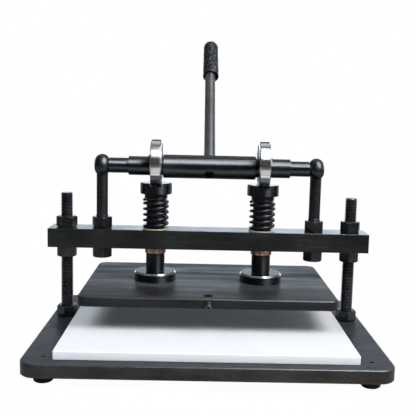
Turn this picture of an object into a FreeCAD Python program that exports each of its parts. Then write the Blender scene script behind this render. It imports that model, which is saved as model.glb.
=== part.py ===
"""Hand lever press for cutting leather and card with steel rule dies.

A base plate on rubber feet carries two threaded columns, and their nuts hold a crossbeam. Two eye
bolts on the beam carry a shaft with two eccentric journals. Each journal has a ball bearing that
rolls on the slotted cap of a sprung plunger, and the plungers push a press plate down on a loose
cutting board. Millimetres, +Z up. The operator stands on the -Y side, and the lever leans back.
The origin is on the floor under the middle of the outline of the whole machine.
"""
import FreeCAD
import Part
import math
import os

V = FreeCAD.Vector
ORIGIN = V(0, 0, 0)
X = V(1, 0, 0)
Y = V(0, 1, 0)
Z = V(0, 0, 1)
SIDES = {"left": -1, "right": 1}

# Clearances
RUNNING = 0.05           # radial play of a shaft in its bore
FREE = 0.3               # gap between curved faces that move past each other
NUT_PLAY = 0.1           # radial play of a nut on a column that it travels along
EASY = 0.5               # radial play of a column in its hole through the beam

# Base plate, feet and cutting board
BASE_WIDTH = 420.0
BASE_DEPTH = 300.0
BASE_THICKNESS = 16.0
BASE_CORNER = 20.0
EDGE_BREAK = 1.0         # chamfer along the edges of the flat plates
FOOT_D = 24.0
FOOT_HEIGHT = 12.0
FOOT_TAPER = 0.7         # how much smaller the radius is at the floor
FOOT_EDGE = 1.5          # rounding at the floor
FOOT_INSET_X = 24.0
FOOT_INSET_Y = 27.0
FOOT_SCREW_D = 6.0
FOOT_SCREW_HEAD_D = 11.0
FOOT_SCREW_HEAD = 3.5
FOOT_SCREW_BEVEL = 1.0
FOOT_SCREW_SUNK = 5.0    # from the floor up to the underside of the head
FOOT_SCREW_GRIP = 10.0   # thread in the base plate
BOARD_TO_COLUMN = 17.5   # from each side of the board to a column's axis
BOARD_SHIFT = -1.3       # the loose board lies a little to the left
BOARD_DEPTH = 268.0
BOARD_THICKNESS = 10.0
BOARD_SETBACK = 16.0     # from the front of the base plate
BOARD_CORNER = 2.0
BOARD_EDGE = 0.6

# Columns, nuts and crossbeam
PRESS_SETBACK = 193.0    # from the front of the base plate to the line of columns and plungers
COLUMN_INSET = 20.0      # from the side of the base plate to a column's axis
COLUMN_D = 16.0
COLUMN_ABOVE_BEAM = 46.0
COLUMN_POINT = 1.5       # chamfer at each end of a column
NUT_FLATS = 24.0
NUT_HEIGHT = 14.8
NUT_FACE_D = 23.0        # flat round face inside the bevel at each end of a nut
NUT_BEVEL = math.radians(30)
THREAD_POINT = 1.0       # chamfer at the end of a bolt or screw
BEAM_OVERHANG = 22.0     # from a column's axis to the beam's end
BEAM_DEPTH = 40.0
BEAM_HEIGHT = 25.0
BEAM_OVER_BASE = 97.0    # clear height from the base plate to the beam
BEAM_EDGE = 0.5

# How far each nut is turned, in degrees from a corner that points at the operator
BASE_NUT_TURN = {"left": -7.0, "right": 5.0}
LOWER_NUT_TURN = {"left": 1.0, "right": -7.5}
UPPER_NUT_TURN = {"left": 40.0, "right": -19.5}
LOWER_EYE_NUT_TURN = {"left": 14.0, "right": -14.5}
UPPER_EYE_NUT_TURN = {"left": 18.0, "right": -9.5}

# Press plate with the pin hole and the clamp screw at its front
PLATE_WIDTH = 320.0
PLATE_DEPTH = 205.0
PLATE_THICKNESS = 12.0
PLATE_CORNER = 12.0
DIE_GAP = 30.5           # between cutting board and press plate with the lever at rest
PIN_HOLE_D = 12.0
PIN_HOLE_SETBACK = 17.0
CLAMP_SCREW_D = 8.0
CLAMP_SCREW_PROUD = 15.0
CLAMP_SOCKET_FLATS = 4.0
CLAMP_SOCKET_DEPTH = 4.0

# Plungers with flange and slotted cap, bushings and springs
PLUNGER_SPACING = 142.5
PLUNGER_D = 25.0
FLANGE_D = 56.0
FLANGE_HEIGHT = 12.0
FLANGE_BEVEL = 2.0
SPIGOT_D = 16.0          # threaded spigot of the cap, inside the plunger
SPIGOT_LENGTH = 14.0
SPIGOT_ROOM = 2.0        # left under the spigot in its tapped hole
PLATE_SCREW_D = 10.0
PLATE_SCREW_HEAD_D = 20.0
PLATE_SCREW_GRIP = 20.0  # thread in the plunger
PLATE_SCREW_FLATS = 6.0
PLATE_SCREW_SOCKET = 3.5
CAP_D = 42.0
CAP_HEIGHT = 14.8
CAP_HUB_D = 30.5
CAP_HUB_HEIGHT = 6.3
CAP_BEVEL = 0.8
SLOT_DEPTH = 5.0
SLOT_PLAY = 0.5          # on each side of the bearing
BUSHING_D = 28.0
BUSHING_FLANGE_D = 36.0
BUSHING_FLANGE = 1.0
BUSHING_BELOW_BEAM = 8.0
BUSHING_BEVEL = 1.0
WIRE_D = 4.0
SPRING_D = 35.0
SPRING_SEAT_RISE = 0.2   # rise of the quarter turn that rests on the bushing's flange
SPRING_TURNS = 4         # open turns
SPRING_END_PITCH = 4.4   # closed turn under the cap
GAP_SPOTS = 240          # points along the wire at which its gap to itself is measured

# Ball bearings
BEARING_D = 62.0
BEARING_BORE = 35.0
BEARING_WIDTH = 14.0
BEARING_EDGE = 1.1
BEARING_BORE_EDGE = 0.6
OUTER_LAND_D = 54.6
INNER_LAND_D = 42.4
BALL_D = 8.0
BALL_COUNT = 9
GROOVE_PLAY = 0.15       # between a ball and its groove
CAGE_THICKNESS = 2.6
CAGE_WIDTH = 10.0
CAGE_PLAY = 0.25
SHIELD_THICKNESS = 1.0
SHIELD_SUNK = 0.5

# Eccentric shaft in its eye bolts
SHAFT_OVER_BEAM = 83.5
SHAFT_SHIFT = -0.9       # the shaft and its eye bolts stand a little to the left
ECCENTRICITY = 4.5
CENTRE_D = 31.0
CENTRE_LENGTH = 122.6
SHAFT_BEVEL = 1.0
OUTER_D = 25.0
END_LENGTH = 35.35       # from an eye's middle to the shoulder of the shaft's thicker part
TAIL_D = 20.0            # end of the eccentric journal, past the bearing
TAIL_LENGTH = 3.5
END_D = 20.0
PIVOT_D = 16.0
PIVOT_BEVEL = 0.8
EYE_TO_COLUMN = 48.0     # from an eye bolt's axis to a column's axis
EYE_D = 29.0
EYE_ROUND = 10.2         # radius of the rounded section of an eye
EYE_SHANK_D = 15.0
EYE_THREAD_D = 16.0
EYE_THREAD_OVER_NUT = 2.0

# Lever
LEVER_LEAN = math.radians(50)
LEVER_D = 15.0
LEVER_THREAD_D = 14.0
LEVER_THREAD_END = -4.0  # along the lever, from the shaft's axis
LEVER_SEAT = 12.0
SPOT_FACE_D = 18.0       # flat round the lever where it enters the shaft
SPOT_FACE = 14.6         # its distance from the shaft's axis
GRIP_START = 196.5
GRIP_TIP = 281.0
GRIP_MOUTH_D = 23.8
GRIP_D = 22.8            # at its domed end
GRIP_LIP = 2.0
GRIP_COVER = 16.0        # from the lever's end to the grip's tip

# Derived places. The whole outline runs from the front of the base plate to the tip of the grip.
TIP_REACH = (GRIP_TIP - GRIP_D / 2) * math.sin(LEVER_LEAN) + GRIP_D / 2
FRONT = -(PRESS_SETBACK + TIP_REACH) / 2
PRESS_Y = FRONT + PRESS_SETBACK
BASE_Y = FRONT + BASE_DEPTH / 2
BASE_TOP = FOOT_HEIGHT + BASE_THICKNESS
BOARD_TOP = BASE_TOP + BOARD_THICKNESS
PLATE_UNDER = BOARD_TOP + DIE_GAP
PLATE_TOP = PLATE_UNDER + PLATE_THICKNESS
PLATE_FRONT = PRESS_Y - PLATE_DEPTH / 2
BEAM_UNDER = BASE_TOP + BEAM_OVER_BASE
BEAM_TOP = BEAM_UNDER + BEAM_HEIGHT
COLUMN_TOP = BEAM_TOP + COLUMN_ABOVE_BEAM
SHAFT_Z = BEAM_TOP + SHAFT_OVER_BEAM
BEARING_Z = SHAFT_Z + ECCENTRICITY
SLOT_FLOOR = BEARING_Z - BEARING_D / 2 - FREE
CAP_TOP = SLOT_FLOOR + SLOT_DEPTH
CAP_UNDER = CAP_TOP - CAP_HEIGHT
HUB_UNDER = CAP_UNDER - CAP_HUB_HEIGHT
BUSHING_TOP = BEAM_TOP + BUSHING_FLANGE
PITCH_R = (BEARING_D + BEARING_BORE) / 4
EYE_REACH = BASE_WIDTH / 2 - COLUMN_INSET - EYE_TO_COLUMN
LEVER_END = GRIP_TIP - GRIP_COVER
LEVER_AXIS = V(0, math.sin(LEVER_LEAN), math.cos(LEVER_LEAN))
SHAFT_CENTRE = V(SHAFT_SHIFT, PRESS_Y, SHAFT_Z)
EYE_BORE_R = PIVOT_D / 2 + RUNNING
EYE_HALF_WIDTH = math.sqrt(EYE_ROUND ** 2 - (EYE_BORE_R - EYE_D / 2 + EYE_ROUND) ** 2)


def turned(profile, base, along, across):
    """A solid of revolution. Each point of the profile is (distance along the axis, radius)."""
    corners = [base + along * a + across * r for a, r in profile]
    face = Part.Face(Part.makePolygon(corners + corners[:1]))
    return face.revolve(base, along, 360)


def turned_up(profile, x, y):
    """A solid of revolution about a vertical axis. Each point is (height, radius)."""
    return turned(profile, V(x, y, 0), Z, X)


def rod(diameter, start, end):
    """A plain cylinder from one point to another."""
    return Part.makeCylinder(diameter / 2, (end - start).Length, start, end - start)


def upright(diameter, x, y, low, high):
    """A plain vertical cylinder."""
    return rod(diameter, V(x, y, low), V(x, y, high))


def rounded_slab(width, depth, thickness, corner, centre_y, low):
    """A flat plate with rounded upright corners, centred on x = 0."""
    slab = Part.makeBox(width, depth, thickness, V(-width / 2, centre_y - depth / 2, low))
    upright_edges = [e for e in slab.Edges if abs(e.tangentAt(e.FirstParameter).z) > 0.5]
    return slab.makeFillet(corner, upright_edges)


def break_flat_edges(slab, size):
    """Chamfers the edges round the top and the underside of a plate."""
    box = slab.BoundBox

    def lies_at(edge, height):
        return abs(edge.BoundBox.ZMin - height) < 1e-6 and abs(edge.BoundBox.ZMax - height) < 1e-6

    edges = [e for e in slab.Edges if lies_at(e, box.ZMin) or lies_at(e, box.ZMax)]
    return slab.makeChamfer(size, edges)


def hexagon_prism(flats, base, direction, length, turn=0.0):
    """A hexagonal prism with the given width across flats, square to the X axis. The turn is in
    degrees about its own direction, and without one two of its corners lie square to X."""
    across = direction.cross(X)
    other = direction.cross(across)
    radius = flats / math.sqrt(3)
    corners = []
    for step in range(6):
        angle = math.radians(60 * step + turn)
        corners.append(base + across * (radius * math.cos(angle)) + other * (radius * math.sin(angle)))
    return Part.Face(Part.makePolygon(corners + corners[:1])).extrude(direction * length)


def column_x(side):
    return side * (BASE_WIDTH / 2 - COLUMN_INSET)


def plunger_x(side):
    return side * PLUNGER_SPACING / 2


def eye_x(side):
    return SHAFT_SHIFT + side * EYE_REACH


def nut(x, low, bore, turn):
    """A hexagon nut with bevelled corners, round a vertical axis on the line of columns."""
    prism = hexagon_prism(NUT_FLATS, V(x, PRESS_Y, low), Z, NUT_HEIGHT, turn)
    corner_r = NUT_FLATS / math.sqrt(3)
    face_r = NUT_FACE_D / 2
    drop = (corner_r - face_r) * math.tan(NUT_BEVEL)
    envelope = turned_up(
        [(low, 0), (low, face_r), (low + drop, corner_r), (low + NUT_HEIGHT - drop, corner_r),
         (low + NUT_HEIGHT, face_r), (low + NUT_HEIGHT, 0)], x, PRESS_Y)
    return prism.common(envelope).cut(upright(bore, x, PRESS_Y, low - 1, low + NUT_HEIGHT + 1))


def nuts(place, low, bore, turns):
    """The same nut on the left and on the right. The place is a function from side to x."""
    return Part.makeCompound([nut(place(side), low, bore, turns[name])
                              for name, side in SIDES.items()])


def foot_places():
    """Name, x and y of each foot."""
    for depth_name, front_back in (("front", -1), ("rear", 1)):
        for side_name, side in SIDES.items():
            x = side * (BASE_WIDTH / 2 - FOOT_INSET_X)
            y = BASE_Y + front_back * (BASE_DEPTH / 2 - FOOT_INSET_Y)
            yield f"{depth_name}_{side_name}_foot", x, y


def base_plate():
    slab = rounded_slab(BASE_WIDTH, BASE_DEPTH, BASE_THICKNESS, BASE_CORNER, BASE_Y, FOOT_HEIGHT)
    slab = break_flat_edges(slab, EDGE_BREAK)
    for _, x, y in foot_places():
        slab = slab.cut(upright(FOOT_SCREW_D, x, y, FOOT_HEIGHT - 1, BASE_TOP + 1))
    for side in SIDES.values():
        slab = slab.cut(upright(COLUMN_D, column_x(side), PRESS_Y, FOOT_HEIGHT - 1, BASE_TOP + 1))
    return slab


def foot(x, y):
    """A tapered rubber foot with a sunk seat for its screw."""
    low_r = FOOT_D / 2 - FOOT_TAPER
    seat_r = FOOT_SCREW_HEAD_D / 2 + FREE
    hole_r = FOOT_SCREW_D / 2
    return turned_up(
        [(0, seat_r), (0, low_r - FOOT_EDGE), (FOOT_EDGE, low_r), (FOOT_HEIGHT, FOOT_D / 2),
         (FOOT_HEIGHT, hole_r), (FOOT_SCREW_SUNK, hole_r), (FOOT_SCREW_SUNK, seat_r)], x, y)


def foot_screw(x, y):
    """The screw that holds a foot, from below."""
    head_r = FOOT_SCREW_HEAD_D / 2
    low = FOOT_SCREW_SUNK - FOOT_SCREW_HEAD
    end = FOOT_HEIGHT + FOOT_SCREW_GRIP
    return turned_up(
        [(low, 0), (low, head_r - FOOT_SCREW_BEVEL), (low + FOOT_SCREW_BEVEL, head_r),
         (FOOT_SCREW_SUNK, head_r),
         (FOOT_SCREW_SUNK, FOOT_SCREW_D / 2), (end, FOOT_SCREW_D / 2), (end, 0)], x, y)


def cutting_board():
    width = 2 * (column_x(1) - BOARD_TO_COLUMN)
    centre_y = FRONT + BOARD_SETBACK + BOARD_DEPTH / 2
    slab = rounded_slab(width, BOARD_DEPTH, BOARD_THICKNESS, BOARD_CORNER, centre_y, BASE_TOP)
    slab.translate(X * BOARD_SHIFT)
    return break_flat_edges(slab, BOARD_EDGE)


def column(side):
    """A threaded column, screwed through the base plate."""
    r = COLUMN_D / 2
    return turned_up(
        [(FOOT_HEIGHT, 0), (FOOT_HEIGHT, r - COLUMN_POINT), (FOOT_HEIGHT + COLUMN_POINT, r),
         (COLUMN_TOP - COLUMN_POINT, r), (COLUMN_TOP, r - COLUMN_POINT), (COLUMN_TOP, 0)],
        column_x(side), PRESS_Y)


def crossbeam():
    end = column_x(1) + BEAM_OVERHANG
    beam = Part.makeBox(2 * end, BEAM_DEPTH, BEAM_HEIGHT,
                        V(-end, PRESS_Y - BEAM_DEPTH / 2, BEAM_UNDER))
    beam = beam.makeChamfer(BEAM_EDGE, beam.Edges)
    bores = ((column_x, COLUMN_D + 2 * EASY), (eye_x, EYE_THREAD_D), (plunger_x, BUSHING_D))
    for side in SIDES.values():
        for place, bore in bores:
            beam = beam.cut(upright(bore, place(side), PRESS_Y, BEAM_UNDER - 1, BEAM_TOP + 1))
    return beam


def bushing(side):
    """A flanged bronze bushing, pressed down through the beam."""
    low = BEAM_UNDER - BUSHING_BELOW_BEAM
    inner = PLUNGER_D / 2 + RUNNING
    outer = BUSHING_D / 2
    return turned_up(
        [(low, inner), (low, outer - BUSHING_BEVEL), (low + BUSHING_BEVEL, outer), (BEAM_TOP, outer),
         (BEAM_TOP, BUSHING_FLANGE_D / 2), (BUSHING_TOP, BUSHING_FLANGE_D / 2),
         (BUSHING_TOP, inner)], plunger_x(side), PRESS_Y)


def eye_bolt(side):
    """A forged eye bolt: a rounded eye with a cross bore, on a shank with a threaded end."""
    x = eye_x(side)
    centre = V(x, PRESS_Y, SHAFT_Z)
    low = BEAM_UNDER - NUT_HEIGHT
    thread_top = BEAM_TOP + NUT_HEIGHT + EYE_THREAD_OVER_NUT
    rim = V(EYE_HALF_WIDTH, 0, EYE_BORE_R)
    other_rim = V(-EYE_HALF_WIDTH, 0, EYE_BORE_R)
    section = Part.Wire([Part.Arc(other_rim, V(0, 0, EYE_D / 2), rim).toShape(),
                         Part.makeLine(rim, other_rim)])
    section.translate(centre)
    eye = Part.Face(section).revolve(centre, X, 360)
    step = (EYE_THREAD_D - EYE_SHANK_D) / 2
    shank = turned_up(
        [(low, 0), (low, EYE_THREAD_D / 2 - THREAD_POINT), (low + THREAD_POINT, EYE_THREAD_D / 2),
         (thread_top, EYE_THREAD_D / 2), (thread_top + step, EYE_SHANK_D / 2),
         (SHAFT_Z, EYE_SHANK_D / 2), (SHAFT_Z, 0)], x, PRESS_Y)
    bore = rod(2 * EYE_BORE_R, centre - X * EYE_D, centre + X * EYE_D)
    return eye.fuse(shank.cut(bore)).removeSplitter()


def spring_heights():
    """Rise of the wire's centre line in each quarter turn, from the seat up."""
    quarters = 4 * SPRING_TURNS
    climb = HUB_UNDER - BUSHING_TOP - 2 * FREE - WIRE_D
    open_rise = (climb - SPRING_SEAT_RISE - SPRING_END_PITCH) / quarters
    return [SPRING_SEAT_RISE] + [open_rise] * quarters + [SPRING_END_PITCH / 4] * 4


def biarc(start, start_way, end, end_way):
    """Two arcs that join two points with the given directions, which are unit vectors."""
    gap = end - start
    ways = start_way + end_way
    turn = 2 * (1 - start_way.dot(end_way))
    reach = (math.sqrt(gap.dot(ways) ** 2 + turn * gap.dot(gap)) - gap.dot(ways)) / turn
    middle = (start + end + (start_way - end_way) * reach) / 2
    return [arc_from(start, start_way, middle), arc_from(end, end_way * -1, middle)]


def arc_from(start, way, end):
    """The arc that leaves one point in a given direction and ends at another."""
    chord = end - start
    line = V(chord)
    line.normalize()
    side = way - line * way.dot(line)
    half_angle = way.getAngle(line)
    side.normalize()
    top = start + chord / 2 + side * (chord.Length / 2 * math.tan(half_angle / 2))
    return Part.Arc(start, top, end).toShape()


def spring(side):
    """A compression spring as one unbroken tube. It starts at the back of its seat, and its last
    turn is closed."""
    mean_r = (SPRING_D - WIRE_D) / 2
    axis = V(plunger_x(side), PRESS_Y, BUSHING_TOP + FREE + WIRE_D / 2)
    rises = spring_heights()
    slopes = [rises[0]]
    slopes += [(low + high) / 2 for low, high in zip(rises, rises[1:])]
    slopes.append(rises[-1])
    points = []
    ways = []
    height = 0.0
    for quarter, slope in enumerate(slopes):
        angle = (quarter + 1) * math.pi / 2
        points.append(axis + V(mean_r * math.cos(angle), mean_r * math.sin(angle), height))
        way = V(-mean_r * math.sin(angle), mean_r * math.cos(angle), slope / (math.pi / 2))
        way.normalize()
        ways.append(way)
        if quarter < len(rises):
            height += rises[quarter]
    edges = []
    for place in range(len(rises)):
        edges += biarc(points[place], ways[place], points[place + 1], ways[place + 1])
    path = Part.Wire(Part.__sortEdges__(edges))
    pipe = Part.BRepOffsetAPI.MakePipeShell(path)
    pipe.add(Part.Wire(Part.Circle(points[0], ways[0], WIRE_D / 2).toShape()))
    pipe.build()
    pipe.makeSolid()
    report_gap(path)
    return Part.Solid(pipe.shape())


def report_gap(path):
    """Prints the least gap between two turns of the wire, measured on points of its centre line."""
    spots = path.discretize(Number=GAP_SPOTS)
    step = path.Length / (len(spots) - 1)
    apart = round(3 * WIRE_D / step)
    least = min(a.distanceToPoint(b) for i, a in enumerate(spots) for b in spots[i + apart:])
    print(f"spring: least gap between turns {least - WIRE_D:.2f} mm")


def plunger(side):
    """A guided plunger with its flange, tapped at both ends."""
    x = plunger_x(side)
    rim = FLANGE_D / 2
    bevel = PLATE_TOP + FLANGE_HEIGHT - FLANGE_BEVEL
    shoulder = PLATE_TOP + FLANGE_HEIGHT
    body = turned_up(
        [(PLATE_TOP, 0), (PLATE_TOP, rim), (bevel, rim), (shoulder, rim - FLANGE_BEVEL),
         (shoulder, PLUNGER_D / 2), (HUB_UNDER, PLUNGER_D / 2), (HUB_UNDER, 0)], x, PRESS_Y)
    hole_end = HUB_UNDER - SPIGOT_LENGTH - SPIGOT_ROOM
    body = body.cut(upright(SPIGOT_D, x, PRESS_Y, hole_end, HUB_UNDER + 1))
    return body.cut(upright(PLATE_SCREW_D, x, PRESS_Y, PLATE_TOP - 1, PLATE_TOP + PLATE_SCREW_GRIP))


def plunger_cap(side):
    """The plunger's turned cap on its spigot, with the slot that the bearing rolls in."""
    x = plunger_x(side)
    r = CAP_D / 2
    low = HUB_UNDER - SPIGOT_LENGTH
    cap = turned_up(
        [(low, 0), (low, SPIGOT_D / 2 - THREAD_POINT), (low + THREAD_POINT, SPIGOT_D / 2),
         (HUB_UNDER, SPIGOT_D / 2), (HUB_UNDER, CAP_HUB_D / 2),
         (CAP_UNDER, CAP_HUB_D / 2), (CAP_UNDER, r - CAP_BEVEL),
         (CAP_UNDER + CAP_BEVEL, r), (CAP_TOP - CAP_BEVEL, r), (CAP_TOP, r - CAP_BEVEL),
         (CAP_TOP, 0)], x, PRESS_Y)
    slot_width = BEARING_WIDTH + 2 * SLOT_PLAY
    slot = Part.makeBox(slot_width, CAP_D + 2, SLOT_DEPTH + 1,
                        V(x - slot_width / 2, PRESS_Y - CAP_D / 2 - 1, SLOT_FLOOR))
    return cap.cut(slot)


def plate_screw_profile():
    """Height and radius of a countersunk screw under the press plate, up to its end."""
    head_r = PLATE_SCREW_HEAD_D / 2
    neck = PLATE_UNDER + head_r - PLATE_SCREW_D / 2
    end = PLATE_TOP + PLATE_SCREW_GRIP
    return [(PLATE_UNDER, 0), (PLATE_UNDER, head_r), (neck, PLATE_SCREW_D / 2),
            (end, PLATE_SCREW_D / 2), (end, 0)]


def plate_screw(side):
    """The countersunk socket screw that holds the press plate to a plunger."""
    x = plunger_x(side)
    screw = turned_up(plate_screw_profile(), x, PRESS_Y)
    place = V(x, PRESS_Y, PLATE_UNDER)
    return screw.cut(hexagon_prism(PLATE_SCREW_FLATS, place, Z, PLATE_SCREW_SOCKET))


def press_plate():
    slab = rounded_slab(PLATE_WIDTH, PLATE_DEPTH, PLATE_THICKNESS, PLATE_CORNER, PRESS_Y, PLATE_UNDER)
    slab = break_flat_edges(slab, EDGE_BREAK)
    for side in SIDES.values():
        slab = slab.cut(turned_up(plate_screw_profile(), plunger_x(side), PRESS_Y))
    hole_y = PLATE_FRONT + PIN_HOLE_SETBACK
    slab = slab.cut(upright(PIN_HOLE_D, 0, hole_y, PLATE_UNDER - 1, PLATE_TOP + 1))
    middle = PLATE_UNDER + PLATE_THICKNESS / 2
    return slab.cut(rod(CLAMP_SCREW_D, V(0, PLATE_FRONT - 1, middle), V(0, hole_y, middle)))


def clamp_screw():
    """The socket set screw in the plate's front edge, just short of the pin hole."""
    start = PLATE_FRONT - CLAMP_SCREW_PROUD
    end = PLATE_FRONT + PIN_HOLE_SETBACK - PIN_HOLE_D / 2 - FREE
    length = end - start
    r = CLAMP_SCREW_D / 2
    base = V(0, start, PLATE_UNDER + PLATE_THICKNESS / 2)
    screw = turned([(0, 0), (0, r - THREAD_POINT), (THREAD_POINT, r), (length - THREAD_POINT, r),
                    (length, r - THREAD_POINT), (length, 0)], base, Y, X)
    return screw.cut(hexagon_prism(CLAMP_SOCKET_FLATS, base, Y, CLAMP_SOCKET_DEPTH))


def eccentric_shaft():
    """The turned shaft with its two eccentric journals, cross drilled for the lever."""
    centre_end = CENTRE_LENGTH / 2
    shoulder = EYE_REACH - END_LENGTH
    eye_face = EYE_REACH - EYE_HALF_WIDTH
    pivot_end = EYE_REACH + EYE_HALF_WIDTH
    half = [(centre_end - SHAFT_BEVEL, CENTRE_D / 2), (centre_end, CENTRE_D / 2 - SHAFT_BEVEL),
            (centre_end, OUTER_D / 2), (shoulder, OUTER_D / 2), (shoulder, END_D / 2),
            (eye_face - FREE, END_D / 2), (eye_face - FREE, PIVOT_D / 2),
            (pivot_end - PIVOT_BEVEL, PIVOT_D / 2), (pivot_end, PIVOT_D / 2 - PIVOT_BEVEL),
            (pivot_end, 0)]
    shaft = turned([(-a, r) for a, r in reversed(half)] + half, SHAFT_CENTRE, X, Z)
    for side in SIDES.values():
        middle = V(plunger_x(side), PRESS_Y, BEARING_Z)
        face = middle + X * (side * BEARING_WIDTH / 2)
        shaft = shaft.fuse(rod(BEARING_BORE, middle * 2 - face, face))
        shaft = shaft.fuse(rod(TAIL_D, middle, face + X * (side * TAIL_LENGTH)))
    out = SHAFT_CENTRE + LEVER_AXIS * CENTRE_D
    shaft = shaft.cut(rod(LEVER_THREAD_D, SHAFT_CENTRE - LEVER_AXIS * CENTRE_D, out))
    shaft = shaft.cut(rod(LEVER_D, SHAFT_CENTRE + LEVER_AXIS * LEVER_SEAT, out))
    return shaft.cut(rod(SPOT_FACE_D, SHAFT_CENTRE + LEVER_AXIS * SPOT_FACE, out))


def lever_rod():
    """The lever, screwed into the shaft up to its shoulder."""
    return turned(
        [(LEVER_THREAD_END, 0), (LEVER_THREAD_END, LEVER_THREAD_D / 2),
         (LEVER_SEAT, LEVER_THREAD_D / 2), (LEVER_SEAT, LEVER_D / 2), (LEVER_END, LEVER_D / 2),
         (LEVER_END, 0)], SHAFT_CENTRE, LEVER_AXIS, X)


def lever_grip():
    """A rubber sleeve with a domed end and a slightly wider mouth, pushed over the lever."""
    r = GRIP_D / 2
    mouth_r = GRIP_MOUTH_D / 2
    dome = GRIP_TIP - r
    lip_middle = GRIP_LIP * (1 - math.sqrt(0.5))
    outline = [
        Part.makeLine(V(GRIP_START, LEVER_D / 2, 0), V(GRIP_START, mouth_r - GRIP_LIP, 0)),
        Part.Arc(V(GRIP_START, mouth_r - GRIP_LIP, 0),
                 V(GRIP_START + lip_middle, mouth_r - lip_middle, 0),
                 V(GRIP_START + GRIP_LIP, mouth_r, 0)).toShape(),
        Part.makeLine(V(GRIP_START + GRIP_LIP, mouth_r, 0), V(dome, r, 0)),
        Part.Arc(V(dome, r, 0), V(dome + r * math.sqrt(0.5), r * math.sqrt(0.5), 0),
                 V(GRIP_TIP, 0, 0)).toShape(),
        Part.makeLine(V(GRIP_TIP, 0, 0), V(LEVER_END, 0, 0)),
        Part.makeLine(V(LEVER_END, 0, 0), V(LEVER_END, LEVER_D / 2, 0)),
        Part.makeLine(V(LEVER_END, LEVER_D / 2, 0), V(GRIP_START, LEVER_D / 2, 0)),
    ]
    grip = Part.Face(Part.Wire(outline)).revolve(ORIGIN, X, 360)
    grip.Placement = FreeCAD.Placement(SHAFT_CENTRE, FreeCAD.Rotation(X, LEVER_AXIS))
    return grip


def bearing_centre(side):
    return V(plunger_x(side), PRESS_Y, BEARING_Z)


def bearing_ring(side, profile):
    """A bearing ring round the eccentric axis, with its ball groove."""
    centre = bearing_centre(side)
    groove = Part.makeTorus(PITCH_R, BALL_D / 2 + GROOVE_PLAY, centre, X)
    return turned(profile, centre, X, Z).cut(groove)


def outer_ring(side):
    half = BEARING_WIDTH / 2
    land = OUTER_LAND_D / 2
    rim = BEARING_D / 2
    edge = BEARING_EDGE
    return bearing_ring(side, [(-half, land), (-half, rim - edge), (-half + edge, rim),
                               (half - edge, rim), (half, rim - edge), (half, land)])


def inner_ring(side):
    half = BEARING_WIDTH / 2
    land = INNER_LAND_D / 2
    bore = BEARING_BORE / 2
    edge = BEARING_BORE_EDGE
    return bearing_ring(side, [(-half, land), (half, land), (half, bore + edge),
                               (half - edge, bore), (-half + edge, bore), (-half, bore + edge)])


def ball_directions():
    """Where the balls stand round the bearing's axis, as unit vectors."""
    for place in range(BALL_COUNT):
        angle = 2 * math.pi * place / BALL_COUNT
        yield V(0, math.sin(angle), math.cos(angle))


def balls(side):
    """The bearing's balls, evenly spaced on the pitch circle."""
    centre = bearing_centre(side)
    return Part.makeCompound([Part.makeSphere(BALL_D / 2, centre + out * PITCH_R)
                              for out in ball_directions()])


def cage(side):
    """The ring that keeps the balls apart, with a pocket for each."""
    centre = bearing_centre(side)
    start = centre - X * (CAGE_WIDTH / 2)
    hoop = Part.makeCylinder(PITCH_R + CAGE_THICKNESS / 2, CAGE_WIDTH, start, X)
    hoop = hoop.cut(Part.makeCylinder(PITCH_R - CAGE_THICKNESS / 2, CAGE_WIDTH, start, X))
    for out in ball_directions():
        pocket = rod(BALL_D + 2 * CAGE_PLAY, centre + out * (PITCH_R / 2), centre + out * BEARING_D)
        hoop = hoop.cut(pocket)
    return hoop


def shields(side):
    """The two thin discs that close the bearing, held by its outer ring."""
    inner = INNER_LAND_D / 2 + FREE
    outer = OUTER_LAND_D / 2
    discs = []
    for face in (-1, 1):
        near = face * (BEARING_WIDTH / 2 - SHIELD_SUNK)
        far = near - face * SHIELD_THICKNESS
        discs.append(turned([(near, inner), (near, outer), (far, outer), (far, inner)],
                            bearing_centre(side), X, Z))
    return Part.makeCompound(discs)


def all_parts():
    """Node name and shape of every piece of the machine."""
    yield "base_plate", base_plate()
    for name, x, y in foot_places():
        yield name, foot(x, y)
    yield "foot_screws", Part.makeCompound([foot_screw(x, y) for _, x, y in foot_places()])
    yield "cutting_board", cutting_board()
    below_beam = BEAM_UNDER - NUT_HEIGHT
    nut_bore = COLUMN_D + 2 * NUT_PLAY
    yield "column_base_nuts", nuts(column_x, BASE_TOP, COLUMN_D, BASE_NUT_TURN)
    yield "column_lower_nuts", nuts(column_x, below_beam, nut_bore, LOWER_NUT_TURN)
    yield "column_upper_nuts", nuts(column_x, BEAM_TOP, nut_bore, UPPER_NUT_TURN)
    yield "eye_bolt_lower_nuts", nuts(eye_x, below_beam, EYE_THREAD_D, LOWER_EYE_NUT_TURN)
    yield "eye_bolt_upper_nuts", nuts(eye_x, BEAM_TOP, EYE_THREAD_D, UPPER_EYE_NUT_TURN)
    yield "crossbeam", crossbeam()
    yield "press_plate", press_plate()
    yield "clamp_screw", clamp_screw()
    yield "plate_screws", Part.makeCompound([plate_screw(side) for side in SIDES.values()])
    yield "eccentric_shaft", eccentric_shaft()
    yield "lever_rod", lever_rod()
    yield "lever_grip", lever_grip()
    for name, side in SIDES.items():
        yield f"{name}_column", column(side)
        yield f"{name}_bushing", bushing(side)
        yield f"{name}_eye_bolt", eye_bolt(side)
        yield f"{name}_spring", spring(side)
        yield f"{name}_plunger", plunger(side)
        yield f"{name}_plunger_cap", plunger_cap(side)
        yield f"{name}_bearing_outer_ring", outer_ring(side)
        yield f"{name}_bearing_inner_ring", inner_ring(side)
        yield f"{name}_bearing_balls", balls(side)
        yield f"{name}_bearing_cage", cage(side)
        yield f"{name}_bearing_shields", shields(side)


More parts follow.
